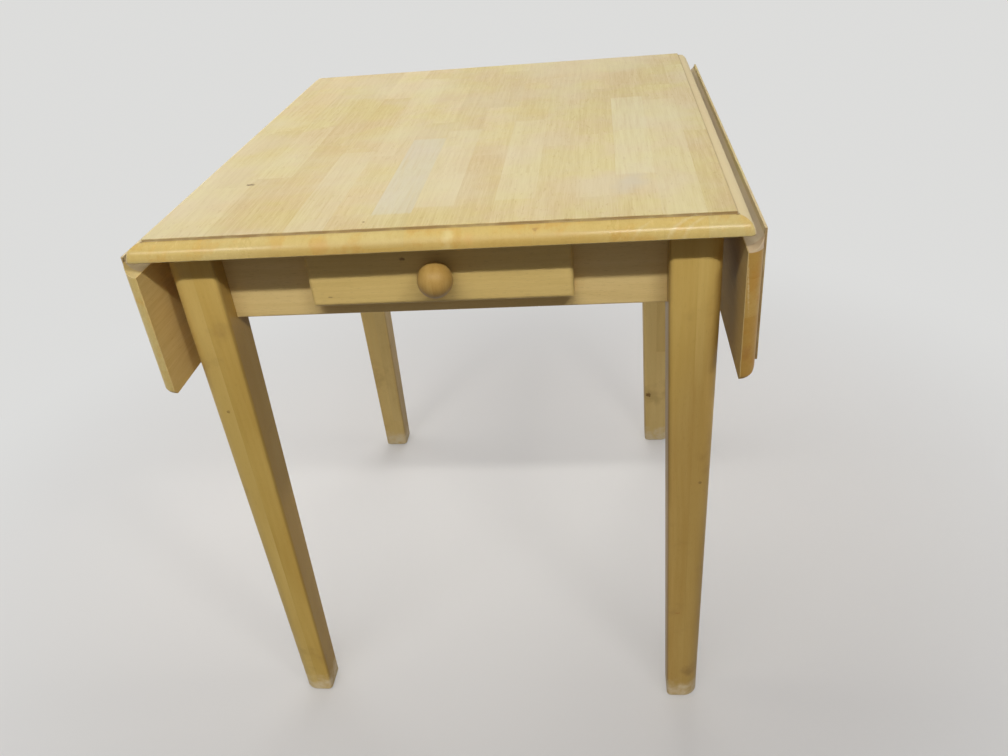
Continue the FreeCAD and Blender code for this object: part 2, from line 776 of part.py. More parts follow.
os.makedirs("parts", exist_ok=True)
for name, shape in parts.items():
    shape.exportStep("parts/" + name + ".step")
print(len(parts), "nodes,", sum(len(shape.Solids) for shape in parts.values()), "solids")
print("prop turns", round(prop_ratio, 4), "for each turn of its leaf")
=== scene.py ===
import bpy
import json
import math
from mathutils import Matrix, Vector


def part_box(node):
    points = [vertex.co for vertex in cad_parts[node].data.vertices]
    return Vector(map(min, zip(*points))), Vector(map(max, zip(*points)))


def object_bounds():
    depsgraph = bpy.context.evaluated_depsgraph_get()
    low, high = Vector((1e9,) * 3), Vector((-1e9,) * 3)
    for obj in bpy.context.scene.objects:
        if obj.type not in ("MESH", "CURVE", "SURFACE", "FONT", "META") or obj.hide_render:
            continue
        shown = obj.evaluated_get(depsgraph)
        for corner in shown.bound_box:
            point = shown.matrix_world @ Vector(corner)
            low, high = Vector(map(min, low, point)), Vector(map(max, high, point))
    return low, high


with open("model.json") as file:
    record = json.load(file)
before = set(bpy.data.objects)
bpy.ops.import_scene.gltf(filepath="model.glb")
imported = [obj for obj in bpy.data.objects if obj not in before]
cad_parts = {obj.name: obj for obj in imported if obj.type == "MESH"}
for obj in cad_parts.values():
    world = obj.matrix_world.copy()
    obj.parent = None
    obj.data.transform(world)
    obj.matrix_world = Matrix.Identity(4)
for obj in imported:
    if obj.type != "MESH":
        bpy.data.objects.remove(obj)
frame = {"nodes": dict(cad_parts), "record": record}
parts = frame["nodes"]
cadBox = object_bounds()
print("frame loaded,", len(parts), "pieces")


# small steps that every finish is wired from

def feed(tree, socket, value):
    if isinstance(value, bpy.types.NodeSocket):
        tree.links.new(value, socket)
    else:
        socket.default_value = value


def calc(tree, operation, first, second=0.0, third=0.0, clamp=False):
    step = tree.nodes.new("ShaderNodeMath")
    step.operation = operation
    step.use_clamp = clamp
    for socket, value in zip(step.inputs, (first, second, third)):
        feed(tree, socket, value)
    return step.outputs[0]


def times(tree, first, second):
    return calc(tree, "MULTIPLY", first, second)


def minus(tree, first, second):
    return calc(tree, "SUBTRACT", first, second)


def scaled(tree, value, factor, offset, clamp=False):
    return calc(tree, "MULTIPLY_ADD", value, factor, offset, clamp)


def unsigned(tree, value):
    return calc(tree, "ABSOLUTE", value)


def ease(tree, value, low, high, outLow=0.0, outHigh=1.0):
    step = tree.nodes.new("ShaderNodeMapRange")
    step.interpolation_type = "SMOOTHSTEP"
    for socket, amount in zip(step.inputs, (value, low, high, outLow, outHigh)):
        feed(tree, socket, amount)
    return step.outputs[0]


def tint(colour):
    return (colour[0], colour[1], colour[2], 1.0)


def mixTones(tree, share, first, second, mode="MIX"):
    step = tree.nodes.new("ShaderNodeMix")
    step.data_type = "RGBA"
    step.blend_type = mode
    for index, value in ((0, share), (6, first), (7, second)):  # the colour mix's factor, first and second
        feed(tree, step.inputs[index], tint(value) if isinstance(value, tuple) else value)
    return step.outputs[2]


def pack(tree, first, second, third):
    step = tree.nodes.new("ShaderNodeCombineXYZ")
    for socket, value in zip(step.inputs, (first, second, third)):
        feed(tree, socket, value)
    return step.outputs[0]


def noiseAt(tree, vector, scale, detail, rough=0.5):
    step = tree.nodes.new("ShaderNodeTexNoise")
    feed(tree, step.inputs["Vector"], vector)
    for name, value in (("Scale", scale), ("Detail", detail), ("Roughness", rough)):
        step.inputs[name].default_value = value
    return step.outputs[0]


def patchesAt(tree, place, look, least=0.0, most=1.0):  # soft-edged patches of noise
    cloud = noiseAt(tree, place, look["scale"], look["detail"], look["rough"])
    return ease(tree, cloud, look["low"], look["high"], least, most)


def dice(tree, vector):  # one random number for each whole-number cell
    step = tree.nodes.new("ShaderNodeTexWhiteNoise")
    step.noise_dimensions = "3D"
    feed(tree, step.inputs["Vector"], vector)
    return step.outputs["Value"]


def startFinish(name):
    finish = bpy.data.materials.new(name)
    finish.use_nodes = True
    return finish, finish.node_tree, finish.node_tree.nodes["Principled BSDF"]


def placeAxes(tree):  # the piece's own coordinates, which are the table's at rest, in metres
    place = tree.nodes.new("ShaderNodeTexCoord")
    split = tree.nodes.new("ShaderNodeSeparateXYZ")
    tree.links.new(place.outputs["Object"], split.inputs[0])
    return dict(zip("XYZ", split.outputs)), place.outputs["Object"]


def addRelief(tree, shader, height, normal, strength, depth):
    relief = tree.nodes.new("ShaderNodeBump")
    relief.inputs["Strength"].default_value = strength
    relief.inputs["Distance"].default_value = depth
    tree.links.new(height, relief.inputs["Height"])
    tree.links.new(normal, relief.inputs["Normal"])
    tree.links.new(relief.outputs[0], shader.inputs["Normal"])


def dress(names, finish):
    for name in names:
        parts[name].material_slots[0].material = finish


# blots and nicks: axes, centre and half sizes in metres, tone, share and any slant

blotEdge = {"ragScale": 300.0, "ragDetail": 2.0, "ragDepth": 1.6, "soft": 0.4}


def spotAt(tree, axes, mark):
    spot = dict(blotEdge, **mark)
    total = None
    for axis, centre, half in zip(spot["axes"], spot["centre"], spot["half"]):
        offset = minus(tree, axes[axis], centre)
        if "slant" in spot and total is None:
            lean = minus(tree, axes[spot["axes"][1]], spot["centre"][1])
            offset = scaled(tree, lean, spot["slant"], offset)
        offset = calc(tree, "DIVIDE", offset, half)
        square = times(tree, offset, offset)
        total = square if total is None else calc(tree, "ADD", total, square)
    ragged = noiseAt(tree, pack(tree, axes["X"], axes["Y"], axes["Z"]), spot["ragScale"], spot["ragDetail"])
    frayed = scaled(tree, ragged, spot["ragDepth"], -spot["ragDepth"] / 2)
    reach = calc(tree, "ADD", calc(tree, "SQRT", total), frayed)
    return ease(tree, reach, spot["soft"], 1.0, 1.0, 0.0)


def addMarks(tree, axes, colour, marks):
    for mark in marks:
        share = times(tree, spotAt(tree, axes, mark), mark["share"])
        colour = mixTones(tree, share, colour, mark["tone"])
    return colour


# wood: boards, growth bands, fibres and pores along one axis

plainWood = {
    "grain": "X", "across": "Z", "seed": 1.0,
    "boardWidth": 0.4, "boardLength": 3.0, "boardShift": 0.0, "boardContrast": 0.1, "boardWarmth": 0.0,
    "broadFine": 38.0, "broadLong": 3.2, "broadContrast": 0.55,
    "streakFine": 260.0, "streakLong": 11.0, "streakContrast": 0.45,
    "fibreFine": 1050.0, "fibreLong": 34.0, "fibreContrast": 0.35,
    "poreFine": 1900.0, "poreLong": 120.0, "poreContrast": 0.3,
    "bandPitch": 560.0, "bandSway": 34.0, "bandContrast": 0.12,
    "seamWidth": 0.0006, "seamContrast": 0.0,
    "tones": ((0.47, 0.335, 0.11), (0.55, 0.41, 0.155), (0.62, 0.48, 0.20)),
    "warmTone": (1.0, 0.94, 0.8), "poreTone": (0.30, 0.19, 0.07), "wornTone": (0.68, 0.57, 0.34),
    "edgeWear": 0.55, "edgeRadius": 0.0012,
    "rough": 0.42, "roughSwing": 0.16, "specular": 0.14, "reliefStrength": 0.35, "reliefDepth": 0.0002,
}
grainMake = {  # what all the woods share
    "cellKey": 0.5, "warmKey": 3.7, "runShift": 7.3, "grainShift": 11.0,
    "rateLeast": 0.7, "rateSpread": 0.9,
    "noiseRough": 0.55, "broadDetail": 2.0, "streakDetail": 3.0, "fibreDetail": 2.0, "poreDetail": 1.0,
    "bendFine": 14.0, "bendLong": 2.4, "bendDetail": 1.0,
    "rampEnds": (0.12, 0.88), "poreFrom": 0.62, "poreTo": 0.74, "seamFrom": 0.0002,
    "poreRelief": -0.7, "fibreRelief": 0.6, "streakRelief": 0.5, "seamRelief": -0.6,
}


def woodBody(tree, look):
    axes, place = placeAxes(tree)
    along, across = axes[look["grain"]], axes[look["across"]]
    depth = axes[[name for name in "XYZ" if name not in (look["grain"], look["across"])][0]]

    # boards side by side, each column cut to its own lengths
    column = scaled(tree, across, 1 / look["boardWidth"], look["boardShift"])
    columnCell = calc(tree, "FLOOR", column)
    columnDice = dice(tree, pack(tree, columnCell, look["seed"], grainMake["cellKey"]))
    rate = scaled(tree, columnDice, grainMake["rateSpread"] / look["boardLength"],
                  grainMake["rateLeast"] / look["boardLength"])
    run = scaled(tree, along, rate, times(tree, columnDice, grainMake["runShift"]))
    runCell = calc(tree, "FLOOR", run)
    board = dice(tree, pack(tree, columnCell, runCell, look["seed"]))
    warmDice = dice(tree, pack(tree, runCell, columnCell, look["seed"] + grainMake["warmKey"]))
    shift = times(tree, board, grainMake["grainShift"])

    def stretchedNoise(fine, long, detail):
        vector = pack(tree, scaled(tree, across, fine, shift), scaled(tree, along, long, shift),
                      times(tree, depth, fine))
        return noiseAt(tree, vector, 1.0, detail, grainMake["noiseRough"])

    layers = {}
    for name in ("broad", "streak", "fibre", "pore"):
        layers[name] = stretchedNoise(look[name + "Fine"], look[name + "Long"], grainMake[name + "Detail"])

    # growth bands bend slowly along the board
    bend = stretchedNoise(grainMake["bendFine"], grainMake["bendLong"], grainMake["bendDetail"])
    phase = scaled(tree, bend, look["bandSway"], times(tree, across, look["bandPitch"]))
    layers["band"] = scaled(tree, calc(tree, "SINE", phase), 0.5, 0.5)

    tone = scaled(tree, board, look["boardContrast"], 0.5 - look["boardContrast"] / 2)
    for name in ("broad", "streak", "fibre", "band"):
        tone = scaled(tree, minus(tree, layers[name], 0.5), look[name + "Contrast"], tone)
    ramp = tree.nodes.new("ShaderNodeValToRGB")
    ramp.color_ramp.interpolation = "B_SPLINE"
    stops = ramp.color_ramp.elements
    stops[0].position, stops[1].position = grainMake["rampEnds"]
    stops[0].color, stops[1].color = tint(look["tones"][0]), tint(look["tones"][2])
    stops.new(0.5).color = tint(look["tones"][1])
    feed(tree, ramp.inputs[0], tone)
    warmShare = times(tree, warmDice, look["boardWarmth"])
    colour = mixTones(tree, warmShare, ramp.outputs[0], look["warmTone"], "MULTIPLY")
    pores = ease(tree, layers["pore"], grainMake["poreFrom"], grainMake["poreTo"])
    colour = mixTones(tree, times(tree, pores, look["poreContrast"]), colour, look["poreTone"])

    # glue lines between boards
    gap = times(tree, calc(tree, "PINGPONG", column, 0.5), look["boardWidth"])
    endGap = times(tree, calc(tree, "PINGPONG", run, 0.5), look["boardLength"])
    nearest = calc(tree, "MINIMUM", gap, endGap)
    seam = ease(tree, nearest, grainMake["seamFrom"], look["seamWidth"], 1.0, 0.0)
    colour = mixTones(tree, times(tree, seam, look["seamContrast"]), colour, look["poreTone"])

    height = times(tree, layers["fibre"], grainMake["fibreRelief"])
    height = scaled(tree, pores, grainMake["poreRelief"], height)
    height = scaled(tree, layers["streak"], grainMake["streakRelief"], height)
    height = scaled(tree, seam, grainMake["seamRelief"], height)
    return {"axes": axes, "place": place, "colour": colour, "height": height, "streak": layers["streak"],
            "board": board}


edgeSense = {"samples": 6, "sharp": 0.80, "flat": 0.985}
edgeRub = {"scale": 55.0, "detail": 3.0, "rough": 0.5, "low": 0.42, "high": 0.62}
rubDull = 0.15  # how much duller a worn edge is


def softEdges(tree, radius):  # shading normal rounded over sharp edges, and a mask of those edges
    rounded = tree.nodes.new("ShaderNodeBevel")
    rounded.samples = edgeSense["samples"]
    rounded.inputs["Radius"].default_value = radius
    flat = tree.nodes.new("ShaderNodeNewGeometry")
    facing = tree.nodes.new("ShaderNodeVectorMath")
    facing.operation = "DOT_PRODUCT"
    tree.links.new(rounded.outputs[0], facing.inputs[0])
    tree.links.new(flat.outputs["Normal"], facing.inputs[1])
    edges = ease(tree, facing.outputs["Value"], edgeSense["sharp"], edgeSense["flat"], 1.0, 0.0)
    return rounded.outputs[0], edges


def closeWood(tree, shader, wood, look):
    normal, edges = softEdges(tree, look["edgeRadius"])
    rubbed = patchesAt(tree, wood["place"], edgeRub)
    worn = times(tree, times(tree, edges, rubbed), look["edgeWear"])
    colour = mixTones(tree, worn, wood["colour"], look["wornTone"])
    tree.links.new(colour, shader.inputs["Base Color"])
    dull = scaled(tree, minus(tree, wood["streak"], 0.5), look["roughSwing"], look["rough"])
    dull = scaled(tree, worn, rubDull, dull, clamp=True)
    if "roughExtra" in wood:
        dull = calc(tree, "ADD", dull, wood["roughExtra"], clamp=True)
    tree.links.new(dull, shader.inputs["Roughness"])
    addRelief(tree, shader, wood["height"], normal, look["reliefStrength"], look["reliefDepth"])
    shader.inputs["Specular IOR Level"].default_value = look["specular"]


# top and leaves: finger-jointed staves, a bleached field inside a yellower moulded edge

topWood = dict(
    plainWood, grain="Y", across="X", seed=4.0, boardWidth=0.043, boardShift=0.535, boardLength=0.30,
    boardContrast=0.24, boardWarmth=0.55, streakContrast=0.66, fibreContrast=0.75, bandContrast=0.08,
    seamContrast=0.07, poreFine=430.0, poreLong=90.0, poreContrast=0.34,
    tones=((0.495, 0.395, 0.19), (0.58, 0.50, 0.28), (0.64, 0.575, 0.365)),
    warmTone=(1.0, 0.95, 0.86), poreTone=(0.42, 0.30, 0.13),
    rough=0.25, specular=0.3, reliefStrength=0.07)
topField = {
    "halfX": 0.306, "halfY": 0.350, "inset": 0.0002, "blur": 0.0008,
    "bleach": (0.66, 0.61, 0.44), "bleachShare": 0.40,
    "yellow": (1.06, 1.06, 0.91), "tan": (1.06, 1.01, 1.02),
    "edgePale": (1.05, 0.98, 0.70), "edgeDeep": (1.03, 0.90, 0.54), "edgeSmooth": 0.45,
    "paleFrom": 0.15, "deepFrom": 0.85, "edgeBlotch": (0.98, 0.80, 0.54), "blotchShare": 0.55,
    "grimeTone": (0.24, 0.14, 0.045), "grimeShare": 0.75, "grimeLeast": 0.5, "grimeFrom": 0.0003,
    "grimeWidth": 0.0026, "riserLow": -0.0034, "riserHigh": -0.0004,
    "underTone": (0.92, 0.84, 0.66), "underSmooth": 0.35, "underLow": -0.0198, "underHigh": -0.0192,
    "fieldRough": 0.30, "edgeDull": 0.22, "dullFrom": 0.10, "dullTo": 0.21,
    "rubGain": 2.4, "rubOffset": -0.2,
}
topPatches = {
    "blotches": {"scale": 42.0, "detail": 3.0, "rough": 0.6, "low": 0.50, "high": 0.66},
    "mottle": {"scale": 13.0, "detail": 4.0, "rough": 0.6, "low": 0.36, "high": 0.64},
    "bleached": {"scale": 5.0, "detail": 4.0, "rough": 0.6, "low": 0.40, "high": 0.66},
    "grime": {"scale": 34.0, "detail": 3.0, "rough": 0.5, "low": 0.25, "high": 0.6},
}
# painted sheen on the long sides, with a duller roughness there
sideSheenAndDull = {"sideSheenTone": (0.69, 0.595, 0.37), "sideSheenShare": 0.78, "sideRough": 0.34, "sideBlend": 0.004}
# painted shade for the lower half of the front and back edges, in the middle
noseLowShade = {"noseShadeTone": (0.84, 0.75, 0.58), "noseShadeShare": 0.85,
                "noseShadeFrom": 0.13, "noseShadeTo": 0.25, "noseShadeLow": -0.015, "noseShadeHigh": -0.006}
topMarks = [
    # tan and greyish blots on the field
    {"axes": "XY", "centre": (-0.172, -0.085), "half": (0.030, 0.042), "soft": 0.0, "ragScale": 30.0,
     "tone": (0.56, 0.41, 0.21), "share": 0.35},
    {"axes": "XY", "centre": (-0.044, 0.155), "half": (0.032, 0.050), "soft": 0.0, "ragScale": 30.0,
     "tone": (0.57, 0.43, 0.25), "share": 0.35},
    {"axes": "XY", "centre": (0.040, -0.125), "half": (0.026, 0.060), "soft": 0.0, "ragScale": 34.0,
     "tone": (0.54, 0.41, 0.21), "share": 0.35},
    {"axes": "XY", "centre": (0.206, -0.255), "half": (0.026, 0.040), "soft": 0.0, "ragScale": 45.0,
     "tone": (0.57, 0.53, 0.44), "share": 0.5},
    # small dark nicks
    {"axes": "XY", "centre": (-0.240, -0.195), "half": (0.0065, 0.0045),
     "tone": (0.16, 0.10, 0.05), "share": 0.85},
    {"axes": "XY", "centre": (-0.070, -0.332), "half": (0.0024, 0.0022),
     "tone": (0.25, 0.15, 0.06), "share": 0.8},
    {"axes": "XY", "centre": (0.110, -0.359), "half": (0.0036, 0.0026),
     "tone": (0.36, 0.20, 0.07), "share": 0.6},
    # pale slanting streaks, a pale patch and two brown blots on the front edge
    {"axes": "XY", "centre": (0.250, -0.360), "half": (0.0050, 0.014), "slant": -1.5, "soft": 0.0,
     "tone": (0.74, 0.67, 0.42), "share": 0.34},
    {"axes": "XY", "centre": (0.265, -0.360), "half": (0.0040, 0.014), "slant": -1.5, "soft": 0.0,
     "tone": (0.74, 0.67, 0.42), "share": 0.28},
    {"axes": "XY", "centre": (0.214, -0.362), "half": (0.0040, 0.010), "slant": -1.5, "soft": 0.0,
     "tone": (0.74, 0.67, 0.42), "share": 0.22},
    {"axes": "XY", "centre": (0.021, -0.361), "half": (0.0090, 0.010), "soft": 0.0, "ragScale": 120.0,
     "tone": (0.74, 0.66, 0.34), "share": 0.42},
    {"axes": "XY", "centre": (-0.108, -0.364), "half": (0.012, 0.008), "soft": 0.0, "ragScale": 90.0,
     "tone": (0.58, 0.36, 0.12), "share": 0.45},
    {"axes": "XY", "centre": (0.043, -0.362), "half": (0.008, 0.010), "soft": 0.0, "ragScale": 90.0,
     "tone": (0.62, 0.40, 0.13), "share": 0.45},
]
topStaves = [  # staves that stand out: counted from the middle, their two ends, tone
    {"column": -2, "ends": (-0.315, -0.050), "tone": (0.615, 0.605, 0.54), "share": 0.42},
    {"column": -1, "ends": (-0.300, -0.020), "tone": (0.72, 0.68, 0.50), "share": 0.26},
    {"column": 1, "ends": (-0.290, 0.010), "tone": (0.72, 0.68, 0.49), "share": 0.22},
    {"column": 4, "ends": (-0.230, 0.095), "tone": (0.74, 0.72, 0.51), "share": 0.36},
    {"column": 5, "ends": (-0.370, 0.075), "tone": (0.72, 0.68, 0.47), "share": 0.24},
    {"column": -4, "ends": (-0.370, -0.090), "tone": (0.72, 0.68, 0.49), "share": 0.22},
]
fingerEnd = {"scale": 900.0, "detail": 1.0, "depth": 0.012, "inside": 0.006, "outside": 0.002}


def staveAt(tree, axes, look, stave):  # one stave of the glued-up board, frayed at its finger-jointed ends
    halfWide = look["boardWidth"] / 2
    left = (stave["column"] + 1 - look["boardShift"]) * look["boardWidth"]
    inWide = calc(tree, "COMPARE", axes[look["across"]], left + halfWide, halfWide)
    fingers = noiseAt(tree, pack(tree, axes["X"], 0.0, 0.0), fingerEnd["scale"], fingerEnd["detail"])
    frayed = scaled(tree, fingers, fingerEnd["depth"], axes[look["grain"]])
    middle = sum(stave["ends"]) / 2 + fingerEnd["depth"] / 2
    half = (stave["ends"][1] - stave["ends"][0]) / 2
    toEnd = unsigned(tree, minus(tree, frayed, middle))
    inLong = ease(tree, toEnd, half - fingerEnd["inside"], half + fingerEnd["outside"], 1.0, 0.0)
    return times(tree, inWide, inLong)


def fieldMask(tree, field, wide, deep):  # 1 on the flat field, 0 on the moulded edge
    inWide = ease(tree, wide, field["halfX"] - field["inset"], field["halfX"] + field["blur"], 1.0, 0.0)
    inDeep = ease(tree, deep, field["halfY"] - field["inset"], field["halfY"] + field["blur"], 1.0, 0.0)
    return times(tree, inWide, inDeep)


def sideMask(tree, field, wide, deep):  # 1 on the long sides, 0 on the ends, mitred at the corners
    pastWide = minus(tree, wide, field["halfX"])
    pastDeep = minus(tree, deep, field["halfY"])
    return ease(tree, minus(tree, pastWide, pastDeep), 0.0, field["sideBlend"])


def stepGrime(tree, wood, field, wide, deep, rise):  # dirt that gathers in the step round the field
    toWide = unsigned(tree, minus(tree, wide, field["halfX"]))
    toDeep = unsigned(tree, minus(tree, deep, field["halfY"]))
    inside = times(tree, calc(tree, "LESS_THAN", wide, field["halfX"] + field["grimeWidth"]),
                   calc(tree, "LESS_THAN", deep, field["halfY"] + field["grimeWidth"]))
    onRiser = times(tree, calc(tree, "GREATER_THAN", rise, field["riserLow"]),
                    calc(tree, "LESS_THAN", rise, field["riserHigh"]))
    nearest = calc(tree, "MINIMUM", toWide, toDeep)
    near = ease(tree, nearest, field["grimeFrom"], field["grimeWidth"], 1.0, 0.0)
    patchy = patchesAt(tree, wood["place"], topPatches["grime"], field["grimeLeast"], 1.0)
    dirt = times(tree, near, times(tree, inside, onRiser))
    return times(tree, dirt, times(tree, patchy, field["grimeShare"]))


def edgeColour(tree, wood, look, field, rise, onSide):
    boardShare = ease(tree, wood["board"], field["paleFrom"], field["deepFrom"])
    tone = mixTones(tree, boardShare, field["edgePale"], field["edgeDeep"])
    blotches = patchesAt(tree, wood["place"], topPatches["blotches"], 0.0, field["blotchShare"])
    tone = mixTones(tree, blotches, tone, mixTones(tree, 1.0, tone, field["edgeBlotch"], "MULTIPLY"))
    evened = mixTones(tree, field["edgeSmooth"], wood["colour"], look["tones"][1])
    colour = mixTones(tree, 1.0, evened, tone, "MULTIPLY")
    if "noseShadeTone" in field:  # painted shade: the front and back edges darker on their lower half, towards the middle
        fromMiddle = unsigned(tree, wood["axes"]["X"])
        inMiddle = ease(tree, fromMiddle, field["noseShadeFrom"], field["noseShadeTo"], 1.0, 0.0)
        below = ease(tree, rise, field["noseShadeLow"], field["noseShadeHigh"], field["noseShadeShare"], 0.0)
        colour = mixTones(tree, times(tree, inMiddle, below), colour, field["noseShadeTone"], "MULTIPLY")
    if onSide is not None:  # painted sheen: the long sides made pale, as a reflection would make them
        colour = mixTones(tree, times(tree, onSide, field["sideSheenShare"]), colour, field["sideSheenTone"])
    return colour


def fieldColour(tree, wood, look, field, staves):
    mottle = patchesAt(tree, wood["place"], topPatches["mottle"])
    tone = mixTones(tree, mottle, field["yellow"], field["tan"])
    colour = mixTones(tree, 1.0, wood["colour"], tone, "MULTIPLY")
    bleached = patchesAt(tree, wood["place"], topPatches["bleached"])
    colour = mixTones(tree, times(tree, bleached, field["bleachShare"]), colour, field["bleach"])
    for stave in staves:
        rubbed = scaled(tree, wood["streak"], field["rubGain"], field["rubOffset"], clamp=True)
        share = times(tree, staveAt(tree, wood["axes"], look, stave), rubbed)
        colour = mixTones(tree, times(tree, share, stave["share"]), colour, stave["tone"])
    return colour


def mouldedTop(name, look, field, marks, staves, measure):
    finish, tree, shader = startFinish(name)
    wood = woodBody(tree, look)
    axes = wood["axes"]
    deep = unsigned(tree, axes["Y"])
    wide, rise = measure(tree, axes)  # across from the middle or the rule joint, and up from the show face
    onField = fieldMask(tree, field, wide, deep)
    onSide = sideMask(tree, field, wide, deep) if "sideSheenTone" in field else None
    colour = mixTones(tree, onField, edgeColour(tree, wood, look, field, rise, onSide),
                      fieldColour(tree, wood, look, field, staves))
    colour = mixTones(tree, stepGrime(tree, wood, field, wide, deep, rise), colour, field["grimeTone"])
    colour = addMarks(tree, axes, colour, marks)
    if "hollowTone" in field:  # painted light: the rule joint's hollow made paler and greyer, standing in for light from above falling into it
        hollow = times(tree, calc(tree, "LESS_THAN", wide, field["hollowWide"]),
                       calc(tree, "LESS_THAN", rise, field["hollowRise"]))
        colour = mixTones(tree, times(tree, hollow, field["hollowShare"]), colour, field["hollowTone"])
    above = ease(tree, rise, field["underLow"], field["underHigh"])  # 0 on the underside
    underColour = mixTones(tree, field["underSmooth"], wood["colour"], look["tones"][1])
    underColour = mixTones(tree, 1.0, underColour, field["underTone"], "MULTIPLY")
    wood["colour"] = mixTones(tree, above, underColour, colour)

    # the field and underside are dull, and so is the edge where hands or the leaves rub
    dullFace = calc(tree, "MAXIMUM", onField, minus(tree, 1.0, above))
    fromMiddle = unsigned(tree, axes["X"])
    handled = ease(tree, fromMiddle, field["dullFrom"], field["dullTo"], field["edgeDull"], 0.0)
    dull = calc(tree, "MAXIMUM", times(tree, dullFace, field["fieldRough"]), handled)
    if onSide is not None:
        dull = calc(tree, "MAXIMUM", dull, times(tree, onSide, field["sideRough"]))
    wood["roughExtra"] = dull
    closeWood(tree, shader, wood, look)
    return finish


def topMeasure(tree, axes):
    return unsigned(tree, axes["X"]), minus(tree, axes["Z"], cadBox[1].z)


topEdge = dict(topField, **sideSheenAndDull, **noseLowShade)
dress(["tabletop"], mouldedTop("worn stave top", topWood, topEdge, topMarks, topStaves, topMeasure))

leafLow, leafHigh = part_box("leaf_right")
leafEdge = 0.017  # width of the moulding at the leaf's lower edge
leafWood = dict(topWood, across="Z", boardShift=0.1, rough=0.34, specular=0.12)
leafField = dict(topField, halfX=leafHigh.z - (leafLow.z + leafEdge), bleachShare=0.22,
                 hollowTone=(0.76, 0.67, 0.52), hollowWide=0.018, hollowRise=-0.0035)
# painted light and shade: the left leaf's edge and inner face made paler, as lit, the right leaf's darker,
# as shaded, each with its own share of the pale hollow
leafLitAndShaded = {
    "leaf_left": {"edgePale": (1.18, 1.12, 0.84), "edgeDeep": (1.14, 1.02, 0.66),
                  "underTone": (1.38, 1.19, 0.84), "hollowShare": 0.12},
    "leaf_right": {"edgePale": (0.89, 0.67, 0.34), "edgeDeep": (0.80, 0.555, 0.235),
                   "underTone": (1.0, 0.86, 0.62), "hollowShare": 0.55},
}
leafSeeds = {"leaf_left": 9.0, "leaf_right": 10.0}
leafMarks = {
    "leaf_left": [],
    "leaf_right": [  # a chipped pale line and a reddish knot on the front end
        {"axes": "XZY", "centre": (0.318, 0.679, -0.362), "half": (0.0014, 0.042, 0.02), "slant": 0.068,
         "soft": 0.0, "tone": (0.74, 0.64, 0.38), "share": 0.55},
        {"axes": "XZY", "centre": (0.3208, 0.598, -0.362), "half": (0.007, 0.014, 0.02), "ragScale": 120.0,
         "soft": 0.0, "tone": (0.34, 0.15, 0.05), "share": 0.45},
    ],
}


def leafMeasure(tree, axes):  # the leaf hangs, so its width runs down and its show face looks out
    return minus(tree, leafHigh.z, axes["Z"]), minus(tree, unsigned(tree, axes["X"]), leafHigh.x)


for leaf, look in leafLitAndShaded.items():
    staves = dict(leafWood, seed=leafSeeds[leaf])
    finish = mouldedTop("stave " + leaf, staves, dict(leafField, **look), leafMarks[leaf], [], leafMeasure)
    dress([leaf], finish)
print("top and leaves finished")


# legs: two or three boards glued up, deeper yellow, paler where the feet have rubbed

legWood = dict(
    plainWood, grain="Z", across="X", seed=6.0, boardWidth=0.0285, boardShift=0.45, boardLength=2.6,
    boardContrast=0.26, boardWarmth=0.5, broadFine=26.0, broadLong=5.0, broadContrast=0.75,
    streakContrast=0.14, fibreContrast=0.16, bandContrast=0.05, seamContrast=0.05, poreContrast=0.16,
    tones=((0.55, 0.37, 0.095), (0.65, 0.47, 0.148), (0.725, 0.555, 0.20)),
    poreTone=(0.27, 0.15, 0.045), wornTone=(0.62, 0.48, 0.22), rough=0.38, specular=0.08)
rearLegWood = dict(legWood, seed=7.0,
                   tones=((0.565, 0.405, 0.145), (0.68, 0.515, 0.208), (0.75, 0.595, 0.265)))
legWear = {
    "footFrom": 0.014, "footRise": 0.040, "footScale": 70.0, "footDetail": 3.0, "footUneven": 0.036,
    "footTone": (0.80, 0.71, 0.50), "footShare": 0.85, "footRough": 0.25,
    "chafeScale": 80.0, "chafeDetail": 3.0, "chafeGain": 1.8, "chafeOffset": -0.25,
    "scuffTone": (0.34, 0.215, 0.07), "scuffShare": 0.38,
    "lowFrom": 0.67, "lowTo": 0.49, "slantFrom": 0.272,
    "innerShadeTone": (0.70, 0.66, 0.68), "innerShadeShare": 0.8, "innerFull": -0.9, "innerNone": -0.6,
}
legScuffs = {"scale": 13.0, "detail": 4.0, "rough": 0.6, "low": 0.56, "high": 0.74}
legMarks = [
    {"axes": "XYZ", "centre": (0.257, 0.286, 0.115), "half": (0.006, 0.03, 0.007),
     "tone": (0.20, 0.11, 0.04), "share": 0.9},
    {"axes": "XYZ", "centre": (0.284, -0.336, 0.400), "half": (0.0025, 0.03, 0.003),
     "tone": (0.26, 0.16, 0.06), "share": 0.7},
    {"axes": "XYZ", "centre": (-0.276, -0.336, 0.520), "half": (0.0025, 0.03, 0.0025),
     "tone": (0.30, 0.18, 0.06), "share": 0.7},
    {"axes": "XYZ", "centre": (0.262, -0.334, 0.175), "half": (0.006, 0.03, 0.0018),
     "tone": (0.42, 0.20, 0.06), "share": 0.5},
    {"axes": "XYZ", "centre": (0.280, -0.330, 0.056), "half": (0.014, 0.03, 0.018), "soft": 0.0,
     "ragScale": 60.0, "tone": (0.24, 0.15, 0.055), "share": 0.45},
]
legLowShade = {  # painted shade, darker towards the floor and with a slanted shadow edge on the right front leg: tone, share, slant across the leg
    "leg_front_left": {"tone": (0.72, 0.675, 0.40), "share": 0.24, "slant": 0.0},
    "leg_front_right": {"tone": (0.74, 0.68, 0.70), "share": 0.64, "slant": 2.6},
    "leg_rear": {"tone": (1.0, 1.0, 1.0), "share": 0.0, "slant": 0.0},
}


